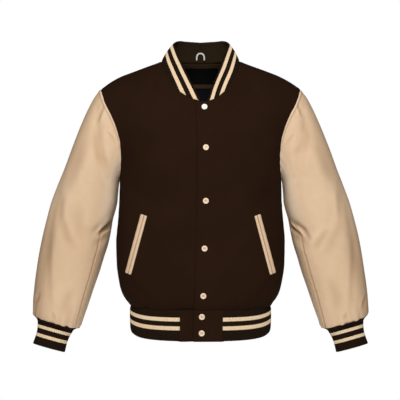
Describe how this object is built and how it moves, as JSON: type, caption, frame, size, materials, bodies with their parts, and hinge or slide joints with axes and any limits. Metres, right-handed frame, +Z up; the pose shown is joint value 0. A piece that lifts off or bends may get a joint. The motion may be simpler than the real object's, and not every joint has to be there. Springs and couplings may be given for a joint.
{
  "type": "varsity jacket",
  "caption": "Hip-length wool jacket with leather sleeves, welt pockets, a snap front and striped rib-knit collar, cuffs and hem, filled out as if worn.",
  "frame": {"origin": "in the middle plane, at the height of the two points where the collar meets the shoulder seams, where the wearer's shoulders carry it", "axes": "+Z up, the front faces -Y, +X is the wearer's left, which is the viewer's right in the picture"},
  "size_m": [0.806, 0.267, 0.7569],
  "materials": {
    "wool": "dark brown melton wool",
    "leather": "smooth pale tan, fine grain",
    "rib": "near-black brown rib knit with cream stripes",
    "lining": "black satin",
    "label": "bare black woven label",
    "loop": "pale grey satin tape",
    "snap": "cream enamelled caps"
  },
  "bodies": {
    "root": {"front_left": "wool", "front_right": "wool", "back": "wool", "lining": "lining", "neck_facing": "wool", "label": "label", "hanger_loop": "loop", "sleeve_top_left": "leather", "sleeve_top_right": "leather", "sleeve_under_left": "leather", "sleeve_under_right": "leather", "cuff_left": "rib", "cuff_right": "rib", "collar": "rib", "hem_band": "rib", "hem_tab_left": "wool", "hem_tab_right": "wool", "pocket_outer_left": "leather", "pocket_inner_left": "leather", "pocket_outer_right": "leather", "pocket_inner_right": "leather", "snap_front_1": "snap", "snap_front_2": "snap", "snap_front_3": "snap", "snap_front_4": "snap", "snap_front_5": "snap", "snap_hem_1": "snap", "snap_hem_2": "snap"}
  },
  "joints": []
}
